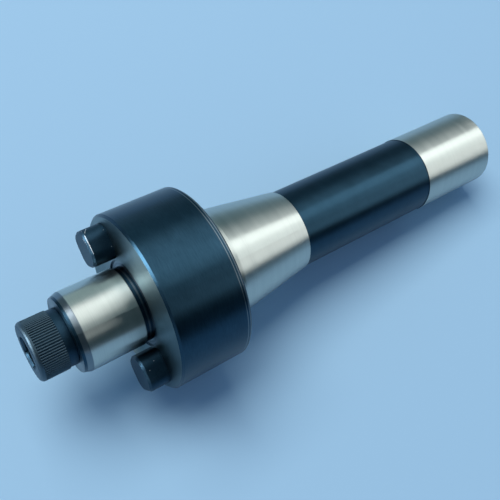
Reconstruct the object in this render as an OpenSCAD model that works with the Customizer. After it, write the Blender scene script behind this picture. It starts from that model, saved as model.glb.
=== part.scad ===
// Shell mill arbor with an R8 shank: one turned and ground arbor, two pressed drive keys, one lock screw.
// It stands on its drawbar end, with +Z along the axis towards the nose. All sizes are in millimetres.

/* [R8 shank] */
// Length from the drawbar end to the gauge line
shank_l = 101.6; // [95:0.1:110]
// Diameter of the taper at the gauge line
gauge_d = 31.75; // [31:0.05:34]
// Half of the included angle of the taper
taper_half_angle = 8.425; // [7.5:0.005:9]
// Ground length of the taper below the gauge line
taper_l = 24.4; // [18:0.1:26]
// Diameter of the ground band at the drawbar end
rear_d = 24.1; // [23.9:0.01:26]
// Length of the ground band at the drawbar end
rear_l = 28.5; // [15:0.5:40]
// Diameter of the blackened middle of the shank
middle_d = 23.8; // [20:0.1:23.8]
// Chamfer on the drawbar end
rear_chamfer = 0.8; // [0.2:0.1:1.5]

/* [Keyway] */
// Width of the keyway
keyway_w = 4; // [3:0.1:6]
// Depth of the keyway below the ground band
keyway_d = 3; // [1.5:0.1:4]
// Full-depth length of the keyway from the drawbar end
keyway_l = 56; // [30:1:60]
// Radius of the cutter that leaves the curved end of the keyway
keyway_cutter_r = 30; // [15:1:40]

/* [Drawbar thread] */
// Nominal diameter of the thread for the drawbar
drawbar_d = 12; // [10:0.5:14]
// Length of the thread for the drawbar
drawbar_l = 32; // [20:1:45]
// Chamfer at the mouth of the drawbar thread
drawbar_chamfer = 1; // [0.4:0.1:1.5]

/* [Flange] */
// Distance from the gauge line to the ground front face
projection = 26; // [24:0.5:40]
// Diameter of the flange
flange_d = 50; // [48:0.5:60]
// Thickness of the flange
flange_t = 21; // [12:0.5:21.5]
// Chamfer on both edges of the flange
flange_chamfer = 0.6; // [0.4:0.1:2]
// Fillet between the neck and the back of the flange
neck_fillet = 2; // [0.5:0.1:2.5]

/* [Pilot] */
// Diameter of the pilot that fits the cutter's bore
pilot_d = 22; // [20:0.1:22.5]
// Length of the pilot from the front face to the nose
pilot_l = 19; // [16:0.5:30]
// Length of the lead at the nose
lead_l = 2; // [0.5:0.1:3]
// Depth of the lead at the nose
lead_d = 0.7; // [0.2:0.1:1.5]
// Length of the undercut at the root of the pilot
undercut_l = 2; // [1:0.1:3]
// Depth of the undercut below the pilot
undercut_d = 0.4; // [0.2:0.1:0.8]
// Width of the turned relief in the front face round the pilot
relief_w = 1.4; // [0.8:0.1:1.5]
// Depth of the turned relief in the front face
relief_d = 0.5; // [0.2:0.1:1]

/* [Drive keys] */
// Width of the drive keys
key_w = 10; // [8:0.1:12]
// Height of the drive keys above the front face
key_h = 6; // [4:0.1:10]
// Distance from the flange's rim to the outer end of each drive key
key_inset = 2.2; // [1.3:0.1:3]
// Distance from the relief round the pilot to the inner end of each drive key
key_gap = 0.3; // [0.2:0.1:1]
// Radius of the upright corners of the drive keys
key_corner_r = 3.6; // [1:0.1:4.4]
// Chamfer on the top edges of the drive keys
key_chamfer = 0.6; // [0.2:0.1:0.9]
// Diameter of the pressed tail under each drive key
tail_d = 7; // [5:0.1:7.5]
// Length of the pressed tail
tail_l = 9; // [6:0.5:10]

/* [Lock screw] */
// Nominal diameter of the lock screw
screw_d = 10; // [8:0.5:11]
// Length of the lock screw under its head
screw_l = 25; // [16:1:35]
// Diameter of the head
head_d = 16; // [14:0.1:18]
// Height of the head
head_h = 10; // [8:0.1:12]
// Chamfer on the top edge of the head
head_chamfer = 1; // [0.3:0.1:1.2]
// Height of the plain collar under the knurl
collar_h = 2.4; // [0.5:0.1:3]
// Hexagon socket across its flats
socket_af = 8; // [6:0.5:9]
// Depth of the hexagon socket
socket_depth = 5; // [4:0.1:6]

/* [Fits] */
// Radial clearance round the thread of the lock screw
thread_clearance = 0.05; // [0.02:0.01:0.1]
// Radial clearance round the pressed tails
tail_clearance = 0.01; // [0.01:0.01:0.05]
// Free depth past the tip of the lock screw and the tails
end_clearance = 3; // [1:0.5:4]

/* [Hidden] */
$fn = 96;

gauge_r = gauge_d / 2;
rear_r = rear_d / 2;
middle_r = middle_d / 2;
taper_z = shank_l - taper_l;
taper_small_r = gauge_r - taper_l * tan(taper_half_angle);
face_z = shank_l + projection;
flange_r = flange_d / 2;
flange_back_z = face_z - flange_t;
pilot_r = pilot_d / 2;
nose_z = face_z + pilot_l;
relief_r = pilot_r + relief_w;
key_inner_r = relief_r + key_gap;
key_l = flange_r - key_inset - key_inner_r;
key_centre_r = key_inner_r + key_l / 2;
// The corners stay short of a full round end
key_round_r = min(key_corner_r, 0.45 * key_w, 0.45 * key_l);
relief_z = face_z - relief_d;
undercut_r = pilot_r - undercut_d;
drawbar_r = drawbar_d / 2;
screw_r = screw_d / 2;
screw_hole_r = screw_r + thread_clearance;
screw_hole_l = screw_l + end_clearance;
head_r = head_d / 2;
collar_r = head_r - 0.2;
screw_tip_chamfer = 1;
hole_chamfer = 0.6;
// Depth of a drill point of 118 degrees for each millimetre of its radius
drill_point = 1 / tan(59);
// A cut runs this far past the surface that it opens
past = 1;
// The keys lie on the Y axis, and the keyway a quarter turn from them on the -X side
key_a_angle = 90;
key_b_angle = 270;
keyway_angle = 180;
ground = [0.78, 0.78, 0.75];
black_oxide = [0.12, 0.13, 0.15];

// The outline of everything that is turned and ground, as [radius, height] from the drawbar end to the nose
module turned_outline() {
    polygon([
        [0, 0],
        [rear_r - rear_chamfer, 0],
        [rear_r, rear_chamfer],
        [rear_r, rear_l],
        [middle_r, rear_l],
        [middle_r, taper_z],
        [taper_small_r, taper_z],
        [gauge_r, shank_l],
        [gauge_r, flange_back_z],
        [flange_r - flange_chamfer, flange_back_z],
        [flange_r, flange_back_z + flange_chamfer],
        [flange_r, face_z - flange_chamfer],
        [flange_r - flange_chamfer, face_z],
        [relief_r, face_z],
        [relief_r, relief_z],
        [undercut_r, relief_z],
        [undercut_r, face_z + undercut_l - undercut_d],
        [pilot_r, face_z + undercut_l],
        [pilot_r, nose_z - lead_l],
        [pilot_r - lead_d, nose_z],
        [0, nose_z]
    ]);
}

// The fillet in the corner of the neck and the back of the flange
module neck_fillet_ring() {
    rotate_extrude()
        difference() {
            translate([gauge_r - past, flange_back_z - neck_fillet])
                square([neck_fillet + past, neck_fillet + past]);
            translate([gauge_r + neck_fillet, flange_back_z - neck_fillet])
                circle(r = neck_fillet);
            translate([gauge_r + neck_fillet, flange_back_z - neck_fillet - past])
                square([past, neck_fillet + 3 * past]);
        }
}

// A blind hole from z = 0 upwards, with a chamfered mouth and a drill point
module blind_hole(r, depth, chamfer) {
    translate([0, 0, -past])
        cylinder(r = r, h = depth + past);
    translate([0, 0, depth])
        cylinder(r1 = r, r2 = 0, h = r * drill_point);
    translate([0, 0, -past])
        cylinder(r1 = r + chamfer + past, r2 = r, h = chamfer + past);
}

// The slot that the spindle's pin slides in, which the round cutter leaves with a curved end
module keyway() {
    rotate([0, 0, keyway_angle])
        translate([rear_r - keyway_d, -keyway_w / 2, 0]) {
            translate([0, 0, -past])
                cube([keyway_d + past, keyway_w, keyway_l + past]);
            translate([keyway_cutter_r, 0, keyway_l])
                rotate([-90, 0, 0])
                    cylinder(r = keyway_cutter_r, h = keyway_w);
        }
}

module key_seat(angle) {
    rotate([0, 0, angle])
        translate([key_centre_r, 0, face_z])
            mirror([0, 0, 1])
                blind_hole(tail_d / 2 + tail_clearance, tail_l + end_clearance, hole_chamfer);
}

module arbor_body() {
    color(ground)
        difference() {
            union() {
                rotate_extrude()
                    turned_outline();
                neck_fillet_ring();
            }
            blind_hole(drawbar_r, drawbar_l, drawbar_chamfer);
            keyway();
            translate([0, 0, nose_z])
                mirror([0, 0, 1])
                    blind_hole(screw_hole_r, screw_hole_l, hole_chamfer);
            key_seat(key_a_angle);
            key_seat(key_b_angle);
        }
}

// One side of the block: a bar along X with both of its top edges chamfered
module chamfered_bar(length, width, height, chamfer) {
    rotate([90, 0, 90])
        translate([0, 0, -length / 2])
            linear_extrude(length)
                polygon([
                    [-width / 2, 0],
                    [width / 2, 0],
                    [width / 2, height - chamfer],
                    [width / 2 - chamfer, height],
                    [chamfer - width / 2, height],
                    [-width / 2, height - chamfer]
                ]);
}

// A block with round upright corners and a chamfer all round its top
module chamfered_block(length, width, height, corner_r, chamfer) {
    chamfered_bar(length - 2 * corner_r, width, height, chamfer);
    rotate([0, 0, 90])
        chamfered_bar(width - 2 * corner_r, length, height, chamfer);
    for (x = [-1, 1], y = [-1, 1])
        translate([x * (length / 2 - corner_r), y * (width / 2 - corner_r), 0]) {
            cylinder(r = corner_r, h = height - chamfer);
            translate([0, 0, height - chamfer])
                cylinder(r1 = corner_r, r2 = corner_r - chamfer, h = chamfer);
        }
}

module drive_key(angle) {
    color(black_oxide)
        rotate([0, 0, angle])
            translate([key_centre_r, 0, face_z]) {
                chamfered_block(key_l, key_w, key_h, key_round_r, key_chamfer);
                translate([0, 0, -tail_l])
                    cylinder(r = tail_d / 2, h = tail_l);
            }
}

module drive_key_a() {
    drive_key(key_a_angle);
}

module drive_key_b() {
    drive_key(key_b_angle);
}

// The outline of the lock screw from its tip to the top of its head, with z = 0 under the head
module screw_outline() {
    polygon([
        [0, -screw_l],
        [screw_r - screw_tip_chamfer, -screw_l],
        [screw_r, screw_tip_chamfer - screw_l],
        [screw_r, 0],
        [collar_r, 0],
        [collar_r, collar_h],
        [head_r, collar_h],
        [head_r, head_h - head_chamfer],
        [head_r - head_chamfer, head_h],
        [0, head_h]
    ]);
}

module hex_socket() {
    socket_corner_r = socket_af / 2 / cos(30);
    translate([0, 0, -socket_depth])
        rotate([0, 0, 30])
            cylinder(r = socket_corner_r, h = socket_depth + past, $fn = 6);
    translate([0, 0, -socket_depth - socket_af / 2 * drill_point])
        cylinder(r1 = 0, r2 = socket_af / 2, h = socket_af / 2 * drill_point);
    translate([0, 0, socket_af / 2 - socket_corner_r])
        cylinder(r1 = socket_af / 2, r2 = socket_corner_r + past, h = socket_corner_r - socket_af / 2 + past);
}

module lock_screw() {
    color(black_oxide)
        translate([0, 0, nose_z])
            difference() {
                rotate_extrude()
                    screw_outline();
                translate([0, 0, head_h])
                    hex_socket();
            }
}

arbor_body();
drive_key_a();
drive_key_b();
lock_screw();
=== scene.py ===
import math

import bmesh
import bpy
from mathutils import Matrix, Vector


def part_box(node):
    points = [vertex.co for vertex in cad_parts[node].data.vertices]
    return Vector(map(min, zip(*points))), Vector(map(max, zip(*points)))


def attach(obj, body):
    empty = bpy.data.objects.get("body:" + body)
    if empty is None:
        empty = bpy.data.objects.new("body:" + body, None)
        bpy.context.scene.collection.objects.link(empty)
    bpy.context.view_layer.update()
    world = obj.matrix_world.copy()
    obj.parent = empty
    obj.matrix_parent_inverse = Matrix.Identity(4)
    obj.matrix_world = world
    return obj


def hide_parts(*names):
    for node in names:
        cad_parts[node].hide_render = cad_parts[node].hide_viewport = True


# A shell mill arbor with an R8 shank, drawn nose up on its drawbar end, in metres
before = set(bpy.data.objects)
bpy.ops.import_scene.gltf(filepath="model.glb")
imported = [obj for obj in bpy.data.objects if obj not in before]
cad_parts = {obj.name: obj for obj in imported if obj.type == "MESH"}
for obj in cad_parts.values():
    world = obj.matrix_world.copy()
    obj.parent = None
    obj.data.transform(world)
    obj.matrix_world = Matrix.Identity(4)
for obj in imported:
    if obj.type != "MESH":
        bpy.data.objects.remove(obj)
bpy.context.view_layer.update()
print("frame loaded:", ", ".join(sorted(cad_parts)))

mm = 0.001


def toLinear(hexColour):
    # one sRGB hex value, such as "#C4C4BE", as linear colour with full alpha
    channels = [int(hexColour[i:i + 2], 16) / 255 for i in (1, 3, 5)]
    linear = [c / 12.92 if c <= 0.04045 else ((c + 0.055) / 1.055) ** 2.4 for c in channels]
    return (*linear, 1)


def addNode(tree, kind, settings=None, links=None):
    # settings are properties of the node or values of its sockets, links go into its sockets
    node = tree.nodes.new(kind)
    for key, value in (settings or {}).items():
        if isinstance(key, str) and hasattr(node, key):
            setattr(node, key, value)
        else:
            node.inputs[key].default_value = value
    for key, source in (links or {}).items():
        output = source.outputs[0] if hasattr(source, "outputs") else source
        tree.links.new(output, node.inputs[key])
    return node


# Camera

cameraSettings = {
    "azimuth": 5.85,  # degrees from +X, so that the drive keys lie as they do in the photograph
    "distance": 177.6,  # mm from the arbor's axis
    "height": 176.7,  # mm above the drawbar end
    "aim": (0.07, -0.62, 89.9),  # mm, where the middle of the picture looks
    "roll": 115.56,  # degrees, because the arbor lies nose down to the left in the photograph
    "lens": 49.6,  # mm on a 36 mm sensor
}


def direction(azimuth, elevation):
    # unit vector from degrees round the arbor's axis and degrees towards its nose
    turn, rise = math.radians(azimuth), math.radians(elevation)
    return Vector((math.cos(turn) * math.cos(rise), math.sin(turn) * math.cos(rise), math.sin(rise)))


def makeCamera(s):
    place = (direction(s["azimuth"], 0) * s["distance"] + Vector((0, 0, s["height"]))) * mm
    look = (Vector(s["aim"]) * mm - place).normalized()
    side = look.cross(Vector((0, 0, 1))).normalized()
    turn = Matrix((side, side.cross(look), -look)).transposed()
    data = bpy.data.cameras.new("camera")
    data.sensor_width = 36
    data.lens = s["lens"]
    data.clip_start = 0.01
    camera = bpy.data.objects.new("camera", data)
    camera.location = place
    camera.rotation_euler = (turn @ Matrix.Rotation(-math.radians(s["roll"]), 3, "Z")).to_euler()
    bpy.context.collection.objects.link(camera)
    bpy.context.scene.camera = camera


makeCamera(cameraSettings)
print("camera set")


# Stage: the pale surface that the arbor rests against, the dim curtains, the world and the lamps

surfaceSettings = {
    "side": 208,  # degrees, the side of the arbor that touches the surface
    "flangeBack": (25.0, 107.2),  # mm, radius and height of the rim that touches it
    "drawbarEnd": (12.05, 0.8),  # mm, the other rim that touches it
    "size": 3000,  # mm
    "colour": "#ADD3E9",
}

# curtains round the open side, which bright metal needs for its dark tones; only reflections show them
surroundSettings = {
    "radius": 900,  # mm from the arbor's axis
    "low": -1500,  # mm, their lower and upper edges
    "high": 3000,
    "panels": 12,
    "curtains": {  # degrees from and to, from one edge of the surface to the other
        "darkCurtain": (-62, -4, "#314650"),
        "greyCurtain": (-4, 118, "#526C74"),
    },
}

# toward and lean are degrees, size is width and height in mm, and radiance 1 shows white as white
# the window and the skylight draw the bright band along the steel, the face light the one across the front face
lampSettings = {
    "window": {"toward": (-1, -45), "lean": 15, "distance": 620, "size": (670, 390),
               "radiance": 1.95, "colour": "#FBFEFD"},
    "skylight": {"toward": (37, -13), "lean": 52, "distance": 620, "size": (420, 720),
                 "radiance": 1.75, "colour": "#FBFEFD"},
    "ceiling": {"toward": (90, -3), "lean": 0, "distance": 620, "size": (540, 240),
                "radiance": 0.75, "colour": "#D4EEF0"},
    "rimLight": {"toward": (42, 50), "lean": 0, "distance": 620, "size": (300, 260),
                 "radiance": 1.8, "colour": "#FFFFFF"},
    "faceLight": {"toward": (70, 62), "lean": 0, "distance": 620, "size": (230, 420),
                  "radiance": 18, "colour": "#FFFFFF"},
}

# the light on the pale surface gives the arbor its soft shadow and stays out of the metal's reflections
surfaceLight = {"toward": (50, 12), "lean": 0, "distance": 1600, "size": (1100, 1100),
                "radiance": 5.2, "colour": "#FFFFFF"}

worldSettings = {
    "background": "#E4EDF3",
    "fill": "#AAC8F2",
    "fillStrength": 0.4,
}


def blend(tree, kind, a, b=None, fixed=0):
    # one Math node on two values, the second of which may be a plain number
    links = {0: a} if b is None else {0: a, 1: b}
    return addNode(tree, "ShaderNodeMath", {"operation": kind, 1: fixed}, links).outputs[0]


def bareMaterial(name):
    material = bpy.data.materials.new(name)
    material.use_nodes = True
    material.node_tree.nodes.clear()
    return material


def stageObject(name, corners, faces, material):
    mesh = bpy.data.meshes.new(name)
    mesh.from_pydata([corner * mm for corner in corners], [], faces)
    mesh.materials.append(material)
    sheet = bpy.data.objects.new(name, mesh)
    bpy.context.collection.objects.link(sheet)
    sheet.visible_shadow = False
    sheet.visible_diffuse = False
    return sheet


def makeSurface(s):
    outward = direction(s["side"], 0)
    low = outward * s["drawbarEnd"][0] + Vector((0, 0, s["drawbarEnd"][1]))
    high = outward * s["flangeBack"][0] + Vector((0, 0, s["flangeBack"][1]))
    along = (high - low).normalized()
    across = Vector((0, 0, 1)).cross(outward)
    half = s["size"] / 2
    material = bareMaterial("paleSurface")
    tree = material.node_tree
    matt = addNode(tree, "ShaderNodeBsdfDiffuse", {"Color": toLinear(s["colour"])})
    clear = addNode(tree, "ShaderNodeBsdfTransparent")
    face = addNode(tree, "ShaderNodeNewGeometry")
    sided = addNode(tree, "ShaderNodeMixShader", None, {0: face.outputs["Backfacing"], 1: matt, 2: clear})
    addNode(tree, "ShaderNodeOutputMaterial", None, {"Surface": sided})
    signs = ((-1, -1), (1, -1), (1, 1), (-1, 1))  # this order turns the face towards the arbor
    corners = [(low + high) / 2 + along * half * a + across * half * b for a, b in signs]
    stageObject("stageSurface", corners, [(0, 1, 2, 3)], material)


def makeCurtain(name, s):
    start, end, colour = s["curtains"][name]
    material = bareMaterial(name)
    tree = material.node_tree
    cloth = addNode(tree, "ShaderNodeEmission", {"Color": toLinear(colour)})
    addNode(tree, "ShaderNodeOutputMaterial", None, {"Surface": cloth})
    corners = []
    for i in range(s["panels"] + 1):
        place = direction(start + (end - start) * i / s["panels"], 0) * s["radius"]
        corners += [place + Vector((0, 0, s["low"])), place + Vector((0, 0, s["high"]))]
    faces = [(2 * i, 2 * i + 1, 2 * i + 3, 2 * i + 2) for i in range(s["panels"])]
    curtain = stageObject(name, corners, faces, material)
    curtain.visible_camera = False


def makeLamp(name, s, middle):
    toward = direction(*s["toward"])
    sideways = Vector((0, 0, 1)).cross(toward).normalized()
    lean = math.radians(s["lean"])
    upright = toward.cross(sideways) * math.cos(lean) + sideways * math.sin(lean)
    data = bpy.data.lights.new(name, "AREA")
    data.shape = "RECTANGLE"
    data.size, data.size_y = (v * mm for v in s["size"])
    data.energy = s["radiance"] * math.pi * data.size * data.size_y
    data.color = toLinear(s["colour"])[:3]
    lamp = bpy.data.objects.new(name, data)
    lamp.location = (middle + toward * s["distance"]) * mm
    lamp.rotation_euler = Matrix((upright.cross(toward), upright, toward)).transposed().to_euler()
    lamp.visible_camera = False
    bpy.context.collection.objects.link(lamp)
    return lamp


def makeWorld(s):
    # the pale background for the camera and for what metal and glass show, the fill for everything else
    world = bpy.data.worlds.new("studio")
    bpy.context.scene.world = world
    world.use_nodes = True
    tree = world.node_tree
    tree.nodes.clear()
    rays = addNode(tree, "ShaderNodeLightPath").outputs
    mirrored = blend(tree, "MAXIMUM", rays["Is Glossy Ray"], rays["Is Transmission Ray"])
    shown = blend(tree, "MAXIMUM", rays["Is Camera Ray"], mirrored)
    pale = addNode(tree, "ShaderNodeBackground", {"Color": toLinear(s["background"])})
    level = {"Color": toLinear(s["fill"]), "Strength": s["fillStrength"]}
    fill = addNode(tree, "ShaderNodeBackground", level)
    mix = addNode(tree, "ShaderNodeMixShader", None, {0: shown, 1: fill, 2: pale})
    addNode(tree, "ShaderNodeOutputWorld", None, {"Surface": mix})


stageMiddle = Vector((0, 0, 80))
makeSurface(surfaceSettings)
for curtainName in surroundSettings["curtains"]:
    makeCurtain(curtainName, surroundSettings)
for lampName, lampValues in lampSettings.items():
    makeLamp(lampName, lampValues, stageMiddle).visible_diffuse = False
makeLamp("surfaceLight", surfaceLight, stageMiddle).visible_glossy = False
makeWorld(worldSettings)
bpy.context.scene.view_settings.view_transform = "Standard"
print("stage, world and", len(lampSettings) + 1, "lamps set")


# Materials

def millimetres(tree):
    # object coordinates in mm, the height along the arbor's axis and the distance from it
    place = addNode(tree, "ShaderNodeTexCoord")
    scale = {"operation": "SCALE", "Scale": 1 / mm}
    scaled = addNode(tree, "ShaderNodeVectorMath", scale, {0: place.outputs["Object"]})
    split = addNode(tree, "ShaderNodeSeparateXYZ", None, {0: scaled})
    flat = addNode(tree, "ShaderNodeVectorMath", {"operation": "MULTIPLY", 1: (1, 1, 0)}, {0: scaled})
    radius = addNode(tree, "ShaderNodeVectorMath", {"operation": "LENGTH"}, {0: flat})
    return scaled, split.outputs["Z"], radius.outputs["Value"]


def within(tree, value, low, high, edge=0.05):
    # 1 where value lies from low to high, fading over this many millimetres to each side
    rise = {"interpolation_type": "SMOOTHSTEP", 1: low - edge, 2: low + edge}
    fall = {"interpolation_type": "SMOOTHSTEP", 1: high - edge, 2: high + edge, 3: 1, 4: 0}
    up = addNode(tree, "ShaderNodeMapRange", rise, {0: value})
    down = addNode(tree, "ShaderNodeMapRange", fall, {0: value})
    return blend(tree, "MULTIPLY", up.outputs[0], down.outputs[0])


def bands(tree, z, radius, zones):
    # 1 on the parts of the turned outline that the zones name
    total = None
    for lowZ, highZ, lowR, highR in zones:
        zone = blend(tree, "MULTIPLY", within(tree, z, lowZ, highZ), within(tree, radius, lowR, highR))
        total = zone if total is None else blend(tree, "MAXIMUM", total, zone)
    return total


def turningLines(tree, alongProfile, spacing, seed, detail=3):
    # height of fine rings left by the tool or the wheel, from a value that grows along the turned outline
    count = blend(tree, "MULTIPLY", alongProfile, None, 1 / spacing)
    shifted = blend(tree, "ADD", count, None, seed)
    noise = {"noise_dimensions": "1D", "Scale": 1, "Detail": detail, "Roughness": 0.7}
    return addNode(tree, "ShaderNodeTexNoise", noise, {"W": shifted}).outputs["Fac"]


def mixed(tree, share, first, second):
    # a colour between two, each a hex value or the output of another node
    settings, links = {"data_type": "RGBA"}, {0: share}
    for socket, colour in ((6, first), (7, second)):
        if isinstance(colour, str):
            settings[socket] = toLinear(colour)
        else:
            links[socket] = colour
    return addNode(tree, "ShaderNodeMix", settings, links).outputs[2]


def ranged(tree, value, low, high):
    # a value from 0 to 1 spread over low to high
    return addNode(tree, "ShaderNodeMapRange", {3: low, 4: high}, {0: value}).outputs[0]


arborFinish = {
    "steelLight": "#CDD1CC",  # ground tool steel, neutral with a trace of green
    "steelDark": "#B0B5B1",
    "oxideLight": "#314E61",  # hot blackening, blue-black and oily
    "oxideDark": "#172D3B",
    "edgeGrey": "#6F7A82",  # a lighter grey in two thin rings at the flange's back edge and on the nose's lead
    "ringLight": "#5E6B75",  # crests of the turned rings at the root of the pilot
    "steelRoughness": 0.33,
    "steelRipple": 0.06,  # how far the roughness wanders along the ground surfaces
    "oxideRoughness": (0.26, 0.4),  # from the oily patches to the dull ones
    "anisotropic": 0.85,
    # painted shade: the front face's steel tone is darkened and tinted blue for the dim reflection it shows
    "faceSteelWithPaintedShade": "#5D7278",
    "faceRoughness": 0.36,  # the front face is ground in circles and scatters widely across them
    "faceZones": [(127.4, 127.8, 12.45, 24.35)],
    "grooveDepth": 0.006,  # mm
    "grindSpacing": 0.22,  # mm between wheel marks; real ones are finer and wouldn't show
    "strokeLength": 2.5,  # mm, the short streaks of turning and polishing under the blackening
    "strokeWidth": 0.22,
    "strokeTone": 0.45,  # how far the streaks change the tone
    "patchTone": (0.3, 0.7),  # shares of the light tone in the cloudy patches
    "strokeDepth": (0.3, 1),  # on the smoother shank and on the flange
    "ringSpacing": 0.55,  # mm between the coarser rings at the root of the pilot
    "ringCrest": (0.5, 0.62),  # heights of the noise between which a ring grows light
    "patchSize": 4,  # mm of the cloudy patches in the blackening
    "streakSpacing": 2.6,  # mm, the slow change of tone along the ground surfaces
    "groundZones": [  # (low z, high z, low radius, high radius) in mm of what is ground bright
        (0.85, 28.45, 11.9, 13),
        (77.15, 105.0, 12, 17.4),
        (127.4, 127.8, 12.45, 24.35),
        (129.5, 144.4, 10.5, 12),
    ],
    "edgeGreyedZones": [
        (107.2, 107.4, 24.9, 25.1),
        (107.9, 108.1, 24.9, 25.1),
        (144.4, 145.9, 10.0, 11.2),
    ],
    "turnedZones": [(106.5, 127.3, 20, 25.1)],  # the flange, where the marks of turning show
    "ringZones": [(127.0, 129.55, 10.4, 12.45)],
}


def makeArborFinish(s):
    # hardened alloy steel, blackened all over and then ground on every surface that seats
    material = bpy.data.materials.new("groundAndBlackenedToolSteel")
    material.use_nodes = True
    tree = material.node_tree
    shader = tree.nodes["Principled BSDF"]
    place, z, radius = millimetres(tree)
    ground = bands(tree, z, radius, s["groundZones"])
    edgeGreyed = bands(tree, z, radius, s["edgeGreyedZones"])
    profile = blend(tree, "ADD", z, radius)
    grind = turningLines(tree, profile, s["grindSpacing"], seed=3)
    across, along = 1 / s["strokeWidth"], 1 / s["strokeLength"]
    stretch = {"operation": "MULTIPLY", 1: (along, along, across)}
    stretched = addNode(tree, "ShaderNodeVectorMath", stretch, {0: place})
    streaky = {"Scale": 1, "Detail": 4, "Roughness": 0.7}
    strokes = addNode(tree, "ShaderNodeTexNoise", streaky, {"Vector": stretched}).outputs["Fac"]
    depth = ranged(tree, bands(tree, z, radius, s["turnedZones"]), *s["strokeDepth"])
    turn = blend(tree, "MULTIPLY", strokes, depth)
    streak = turningLines(tree, profile, s["streakSpacing"], seed=29)
    patchy = {"Scale": 1 / s["patchSize"], "Detail": 5}
    cloud = addNode(tree, "ShaderNodeTexNoise", patchy, {"Vector": place}).outputs["Fac"]
    steel = mixed(tree, blend(tree, "MULTIPLY", grind, streak), s["steelDark"], s["steelLight"])
    face = bands(tree, z, radius, s["faceZones"])
    # painted shade: the front face gets a darker, bluer steel tone for the dim reflection it shows
    steel = mixed(tree, face, steel, s["faceSteelWithPaintedShade"])
    uneven = blend(tree, "MULTIPLY", ranged(tree, strokes, -s["strokeTone"], s["strokeTone"]), depth)
    uneven = blend(tree, "ADD", ranged(tree, cloud, *s["patchTone"]), uneven)
    oxide = mixed(tree, uneven, s["oxideDark"], s["oxideLight"])
    oxide = mixed(tree, edgeGreyed, oxide, s["edgeGrey"])
    crests = turningLines(tree, profile, s["ringSpacing"], seed=5, detail=0)
    crestLow, crestHigh = s["ringCrest"]
    crests = addNode(tree, "ShaderNodeMapRange", {1: crestLow, 2: crestHigh}, {0: crests})
    rings = blend(tree, "MULTIPLY", bands(tree, z, radius, s["ringZones"]), crests)
    oxide = mixed(tree, rings, oxide, s["ringLight"])
    tree.links.new(mixed(tree, ground, oxide, steel), shader.inputs["Base Color"])
    patches = ranged(tree, uneven, *s["oxideRoughness"])
    levels = {"data_type": "FLOAT", 3: s["steelRoughness"]}
    rough = addNode(tree, "ShaderNodeMix", levels, {0: ground, 2: patches})
    levels = {"data_type": "FLOAT", 3: s["faceRoughness"]}
    rough = addNode(tree, "ShaderNodeMix", levels, {0: face, 2: rough})
    ripple = blend(tree, "MULTIPLY", ranged(tree, streak, -s["steelRipple"], s["steelRipple"]), ground)
    tree.links.new(blend(tree, "ADD", rough.outputs[0], ripple), shader.inputs["Roughness"])
    height = addNode(tree, "ShaderNodeMix", {"data_type": "FLOAT"}, {0: ground, 2: turn, 3: grind})
    groove = {"Strength": 0.5, "Distance": s["grooveDepth"] * mm}
    bump = addNode(tree, "ShaderNodeBump", groove, {"Height": height.outputs[0]})
    tree.links.new(bump.outputs[0], shader.inputs["Normal"])
    around = addNode(tree, "ShaderNodeTangent", {"direction_type": "RADIAL", "axis": "Z"})
    tree.links.new(around.outputs[0], shader.inputs["Tangent"])
    shader.inputs["Metallic"].default_value = 1
    shader.inputs["Anisotropic"].default_value = s["anisotropic"]
    shader.inputs["Anisotropic Rotation"].default_value = 0.25  # marks run round, so gloss spreads along
    return material


blackFinish = {
    "dark": "#1D3242",
    "light": "#324C5E",
    # lighter on the knurl's crests and the head's rounded edge: partly wear, partly a painted highlight for the
    # light those edges catch
    "wearAndHighlight": "#465966",
    "wearAndHighlightZones": [  # (low z, high z, low radius, high radius) in mm
        (148.9, 155.7, 7.86, 8.2),  # the crests of the knurl
        (155.6, 156.5, 7.1, 8.2),  # the rounded edge of the head
    ],
    "roughness": (0.36, 0.56),
    "grain": 0.45,  # mm, the mottling of the blackened surface
    "grainDepth": 0.01,  # mm
    "bare": "#C6D0D4",  # steel laid bare in a scratch
    "bareMetallic": 0.2,  # low, because torn metal scatters
}

# scratches through the blackening of the drive keys, as points in mm from the drawbar end's centre
keyMarks = {
    "width": 0.11,
    "lines": [
        [(2.8, 22.5, 131.7), (3.8, 21.85, 132.5), (4.45, 20.95, 133.05), (4.9, 19.4, 133.1), (5, 16, 133)],
        [(3.2, 20.6, 133.6), (4.2, 20.0, 133.6)],
        [(3.4, 20.1, 133.6), (4.35, 19.5, 133.6)],
        [(3.6, 19.5, 133.6), (4.4, 18.9, 133.5)],
    ],
    "specks": [(2.9, 22.45, 133), (2.7, 22.55, 128.6), (4.7, 20.65, 128.15), (5, 16, 128),
               (4.85, -15.2, 130), (5, -16.95, 132)],
}


def nearLine(tree, place, start, end, width):
    # 1 on the straight line between two points, fading to 0 at this width to each side
    along = Vector(end) - Vector(start)
    fromStart = addNode(tree, "ShaderNodeVectorMath", {"operation": "SUBTRACT", 1: start}, {0: place})
    reach = {"operation": "DOT_PRODUCT", 1: along / max(along.length_squared, 1e-6)}
    share = addNode(tree, "ShaderNodeVectorMath", reach, {0: fromStart}).outputs["Value"]
    share = addNode(tree, "ShaderNodeClamp", None, {0: share})
    foot = addNode(tree, "ShaderNodeVectorMath", {"operation": "SCALE", 0: along}, {"Scale": share})
    apart = addNode(tree, "ShaderNodeVectorMath", {"operation": "DISTANCE"}, {0: fromStart, 1: foot})
    fade = {"interpolation_type": "SMOOTHSTEP", 1: width * 0.4, 2: width, 3: 1, 4: 0}
    return addNode(tree, "ShaderNodeMapRange", fade, {0: apart.outputs["Value"]}).outputs[0]


def scratches(tree, place, marks):
    pairs = [pair for line in marks["lines"] for pair in zip(line, line[1:])]
    pairs += [(speck, speck) for speck in marks["specks"]]
    total = None
    for start, end in pairs:
        mark = nearLine(tree, place, start, end, marks["width"])
        total = mark if total is None else blend(tree, "MAXIMUM", total, mark)
    return total


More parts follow.
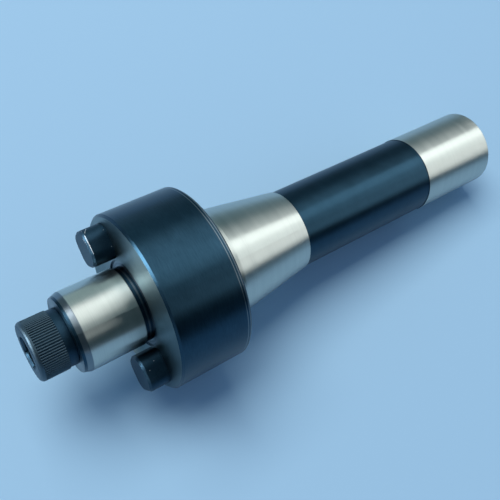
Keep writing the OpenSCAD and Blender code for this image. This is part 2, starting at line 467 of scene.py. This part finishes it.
def makeBlackFinish(name, s, wearAndHighlightZones=None, marks=None):
    # hot-blackened alloy steel, dull, and lighter in the given zones partly from wear and partly as a painted
    # highlight, on a piece with the arbor's own coordinates
    material = bpy.data.materials.new(name)
    material.use_nodes = True
    tree = material.node_tree
    shader = tree.nodes["Principled BSDF"]
    place, z, radius = millimetres(tree)
    noise = {"Scale": 1 / s["grain"], "Detail": 5, "Roughness": 0.65}
    mottle = addNode(tree, "ShaderNodeTexNoise", noise, {"Vector": place}).outputs["Fac"]
    colour = mixed(tree, mottle, s["dark"], s["light"])
    # the lighter zones are partly wear and partly a painted highlight on crests and edges
    if wearAndHighlightZones:
        colour = mixed(tree, bands(tree, z, radius, wearAndHighlightZones), colour, s["wearAndHighlight"])
    if marks:
        scratched = scratches(tree, place, marks)
        colour = mixed(tree, scratched, colour, s["bare"])
        tree.links.new(ranged(tree, scratched, 1, s["bareMetallic"]), shader.inputs["Metallic"])
    tree.links.new(colour, shader.inputs["Base Color"])
    rough = ranged(tree, mottle, *s["roughness"])
    tree.links.new(rough, shader.inputs["Roughness"])
    grain = {"Strength": 0.4, "Distance": s["grainDepth"] * mm}
    bump = addNode(tree, "ShaderNodeBump", grain, {"Height": mottle})
    tree.links.new(bump.outputs[0], shader.inputs["Normal"])
    shader.inputs["Metallic"].default_value = 1  # unless scratches are linked to it
    return material


def dress(node, material):
    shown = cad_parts[node]
    shown.data.materials.clear()
    shown.data.materials.append(material)


arborSteel = makeArborFinish(arborFinish)
keySteel = makeBlackFinish("blackOxideKeySteel", blackFinish, marks=keyMarks)
# the screw's knurl crests and head edge get a lighter tone, partly wear and partly a painted highlight
screwSteel = makeBlackFinish("blackOxideScrewSteel", blackFinish, blackFinish["wearAndHighlightZones"])
dress("arbor_body", arborSteel)
dress("drive_key_a", keySteel)
dress("drive_key_b", keySteel)
dress("lock_screw", screwSteel)
print("materials made")


# Lock screw, with its thread and knurl

screwSizes = {
    "threadRadius": 4.95,
    "pitch": 1.5,
    "length": 25,
    "headRadius": 8,  # over the knurl
    "collarRadius": 7.75,
    "collarHeight": 2.35,
    "headHeight": 10,
    "headRounding": 1,
    "roundingSteps": 6,
    "socketFlat": 4,  # half of the size across flats
    "socketDepth": 5,
    "socketChamfer": 0.55,
    "socketLeadIn": 0.1,  # past the hexagon's corners, at the mouth
    "drillTip": (2.4, 0.05),  # depth of the cone under the socket, and the radius it ends at
    "headStep": (0.02, 0.03),  # the small steps below and above the knurl
    "tipChamfer": 0.4,
    "threadStart": 0.9,  # from the tip
    "relief": 1.2,  # plain length between the thread and the head
    "edge": 0.15,  # chamfer under the collar
    "segments": 96,
    "sharpAngle": 28,  # degrees, edges that turn more stay sharp
    "knurlCount": 72,
    "knurlSize": 0.27,  # radius of a ridge
    "knurlDepth": 0.3,
    "knurlPlain": (0.1, 0.2),  # mm left plain below and above the ridges
}


def hexRing(flat):
    # gives lathe the distance to a hexagon's side at an angle, its corners on the X axis
    return lambda angle: flat / math.cos((angle % (math.pi / 3)) - math.pi / 6)


def lathe(name, rings, segments, sharpAngle):
    # rings are (z, radius) or (z, function of angle), joined from first to last and closed at both ends
    shape = bmesh.new()
    loops = []
    for z, radius in rings:
        loop = []
        for i in range(segments):
            angle = 2 * math.pi * i / segments
            r = radius(angle) if callable(radius) else radius
            loop.append(shape.verts.new((r * math.cos(angle) * mm, r * math.sin(angle) * mm, z * mm)))
        loops.append(loop)
    for a, b in zip(loops, loops[1:]):
        for i in range(segments):
            j = (i + 1) % segments
            shape.faces.new((a[i], a[j], b[j], b[i]))
    for loop, z in ((loops[0], rings[0][0]), (loops[-1], rings[-1][0])):
        centre = shape.verts.new((0, 0, z * mm))
        for i in range(segments):
            shape.faces.new((centre, loop[i], loop[(i + 1) % segments]))
    bmesh.ops.recalc_face_normals(shape, faces=shape.faces)
    for face in shape.faces:
        face.smooth = True
    for edge in shape.edges:
        edge.smooth = edge.calc_face_angle(0) < math.radians(sharpAngle)
    mesh = bpy.data.meshes.new(name)
    shape.to_mesh(mesh)
    shape.free()
    piece = bpy.data.objects.new(name, mesh)
    bpy.context.collection.objects.link(piece)
    return piece


def makeTree(name, inputs):
    # a Geometry Nodes tree with one geometry in and out and the inputs named here
    tree = bpy.data.node_groups.new(name, "GeometryNodeTree")
    tree.is_modifier = True
    tree.interface.new_socket("Geometry", in_out="INPUT", socket_type="NodeSocketGeometry")
    tree.interface.new_socket("Geometry", in_out="OUTPUT", socket_type="NodeSocketGeometry")
    for label, kind in inputs.items():
        tree.interface.new_socket(label, in_out="INPUT", socket_type="NodeSocket" + kind)
    return tree, addNode(tree, "NodeGroupInput").outputs, addNode(tree, "NodeGroupOutput")


def joinAndFinish(tree, given, made, result):
    # the piece and what its tree makes, as one real mesh with its material
    joined = addNode(tree, "GeometryNodeJoinGeometry")
    for geometry in (given["Geometry"], made.outputs[0]):
        tree.links.new(geometry, joined.inputs[0])
    real = addNode(tree, "GeometryNodeRealizeInstances", None, {0: joined})
    done = addNode(tree, "GeometryNodeSetMaterial", None, {"Geometry": real, "Material": given["Finish"]})
    tree.links.new(done.outputs[0], result.inputs[0])


def makeThreadTree():
    # a V ridge wound on a helix and joined to the piece
    tree, given, result = makeTree("threadOnHelix", {
        "Ridge radius": "Float", "Pitch": "Float", "Turns": "Float",
        "Start": "Float", "Finish": "Material"})
    height = blend(tree, "MULTIPLY", given["Pitch"], given["Turns"])
    half = blend(tree, "MULTIPLY", given["Pitch"], None, 0.5)
    helix = addNode(tree, "GeometryNodeCurveSpiral", {"Resolution": 64}, {
        "Rotations": given["Turns"], "Height": height,
        "Start Radius": given["Ridge radius"], "End Radius": given["Ridge radius"]})
    upright = addNode(tree, "GeometryNodeSetCurveNormal", {"mode": "Z_UP"}, {"Curve": helix})
    section = addNode(tree, "GeometryNodeCurvePrimitiveCircle", {"Resolution": 4}, {"Radius": half})
    ridge = addNode(tree, "GeometryNodeCurveToMesh", {"Fill Caps": True}, {
        "Curve": upright, "Profile Curve": section})
    lift = addNode(tree, "ShaderNodeCombineXYZ", None, {"Z": given["Start"]})
    moved = addNode(tree, "GeometryNodeSetPosition", None, {"Geometry": ridge, "Offset": lift})
    flat = addNode(tree, "GeometryNodeSetShadeSmooth", {"Shade Smooth": False}, {"Geometry": moved})
    joinAndFinish(tree, given, flat, result)
    return tree


def makeKnurlTree():
    # straight round ridges set round a head and joined to the piece
    tree, given, result = makeTree("straightKnurl", {
        "Count": "Int", "Radius": "Float", "Ridge size": "Float",
        "Length": "Float", "Start": "Float", "Finish": "Material"})
    middle = blend(tree, "ADD", given["Start"], blend(tree, "MULTIPLY", given["Length"], None, 0.5))
    lift = addNode(tree, "ShaderNodeCombineXYZ", None, {"Z": middle})
    ring = addNode(tree, "GeometryNodeMeshCircle", None, {
        "Vertices": given["Count"], "Radius": given["Radius"]})
    places = addNode(tree, "GeometryNodeSetPosition", None, {"Geometry": ring, "Offset": lift})
    ridge = addNode(tree, "GeometryNodeMeshCylinder", {"Vertices": 8, "Side Segments": 1}, {
        "Radius": given["Ridge size"], "Depth": given["Length"]}).outputs
    rounded = addNode(tree, "GeometryNodeSetShadeSmooth", {"Shade Smooth": True}, {
        "Geometry": ridge["Mesh"], "Selection": ridge["Side"]})
    outward = addNode(tree, "GeometryNodeInputPosition")
    facing = {"axis": "X", "pivot_axis": "Z"}
    turn = addNode(tree, "FunctionNodeAlignRotationToVector", facing, {"Vector": outward})
    ridges = addNode(tree, "GeometryNodeInstanceOnPoints", None, {
        "Points": places, "Instance": rounded, "Rotation": turn})
    joinAndFinish(tree, given, ridges, result)
    return tree


def applyTree(piece, tree, values):
    # runs the tree on the piece and keeps the result as its plain mesh
    modifier = piece.modifiers.new(tree.name, "NODES")
    modifier.node_group = tree
    for item in tree.interface.items_tree:
        if item.in_out == "INPUT" and item.name in values:
            modifier[item.identifier] = values[item.name]
    shown = piece.evaluated_get(bpy.context.evaluated_depsgraph_get())
    mesh = bpy.data.meshes.new_from_object(shown)
    piece.modifiers.clear()
    piece.data = mesh
    mesh.name = piece.name


def makeLockScrew(s, material):
    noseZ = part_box("lock_screw")[1][2] / mm - s["headHeight"]  # the head's seat
    rootRadius = s["threadRadius"] - s["pitch"] / 2
    tipZ = noseZ - s["length"]
    topZ = noseZ + s["headHeight"]
    corner = s["socketFlat"] / math.cos(math.pi / 6)
    socket = hexRing(s["socketFlat"])
    coreRadius = s["headRadius"] - s["knurlDepth"]
    plainLow, plainHigh = s["knurlPlain"]
    stepIn, stepUp = s["headStep"]
    coneDepth, coneEnd = s["drillTip"]
    knurlLow = noseZ + s["collarHeight"] + plainLow
    knurlHigh = topZ - s["headRounding"] - plainHigh
    rounding = []
    for i in range(s["roundingSteps"] + 1):
        turn = math.pi / 2 * i / s["roundingSteps"]
        fall = (1 - math.sin(turn)) * s["headRounding"]
        rounding.append((topZ - fall, s["headRadius"] - (1 - math.cos(turn)) * s["headRounding"]))
    rings = [
        (tipZ, rootRadius - s["tipChamfer"]),
        (tipZ + s["tipChamfer"], rootRadius),
        (noseZ - s["relief"], rootRadius),
        (noseZ - s["relief"] / 3, s["threadRadius"]),
        (noseZ, s["threadRadius"]),
        (noseZ, s["collarRadius"] - s["edge"]),
        (noseZ + s["edge"], s["collarRadius"]),
        (noseZ + s["collarHeight"], s["collarRadius"]),
        (noseZ + s["collarHeight"] + stepIn, coreRadius),
        (knurlHigh, coreRadius),
        (knurlHigh + stepUp, s["headRadius"] - stepIn),
        *rounding,
        (topZ, corner + s["socketLeadIn"]),
        (topZ - s["socketChamfer"], socket),
        (topZ - s["socketDepth"], socket),
        (topZ - s["socketDepth"], s["socketFlat"]),
        (topZ - s["socketDepth"] - coneDepth, coneEnd),
    ]
    screw = lathe("lockScrew", rings, s["segments"], s["sharpAngle"])
    applyTree(screw, makeKnurlTree(), {
        "Count": s["knurlCount"],
        "Radius": (s["headRadius"] - s["knurlSize"]) * mm,
        "Ridge size": s["knurlSize"] * mm,
        "Length": (knurlHigh - knurlLow) * mm,
        "Start": knurlLow * mm,
        "Finish": material,
    })
    applyTree(screw, threadTree, {
        "Ridge radius": rootRadius * mm,
        "Pitch": s["pitch"] * mm,
        "Turns": (s["length"] - 2 * s["relief"]) / s["pitch"],
        "Start": (tipZ + s["threadStart"]) * mm,
        "Finish": material,
    })
    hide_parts("lock_screw")
    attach(screw, "lock_screw")
    return screw


threadTree = makeThreadTree()
lockScrew = makeLockScrew(screwSizes, screwSteel)
print("lock screw:", len(lockScrew.data.polygons), "faces")


# Thread for the drawbar, in the hole at the drawbar end

drawbarThread = {
    "holeRadius": 6.0,
    "pitch": 1.75,
    "start": 1.9,
    "end": 31.0,
}


def makeDrawbarThread(s, material):
    thread = bpy.data.objects.new("drawbarThread", bpy.data.meshes.new("drawbarThread"))
    bpy.context.collection.objects.link(thread)
    applyTree(thread, threadTree, {
        "Ridge radius": s["holeRadius"] * mm,
        "Pitch": s["pitch"] * mm,
        "Turns": (s["end"] - s["start"]) / s["pitch"],
        "Start": s["start"] * mm,
        "Finish": material,
    })
    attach(thread, "arbor")
    return thread


makeDrawbarThread(drawbarThread, arborSteel)
print("drawbar thread cut")
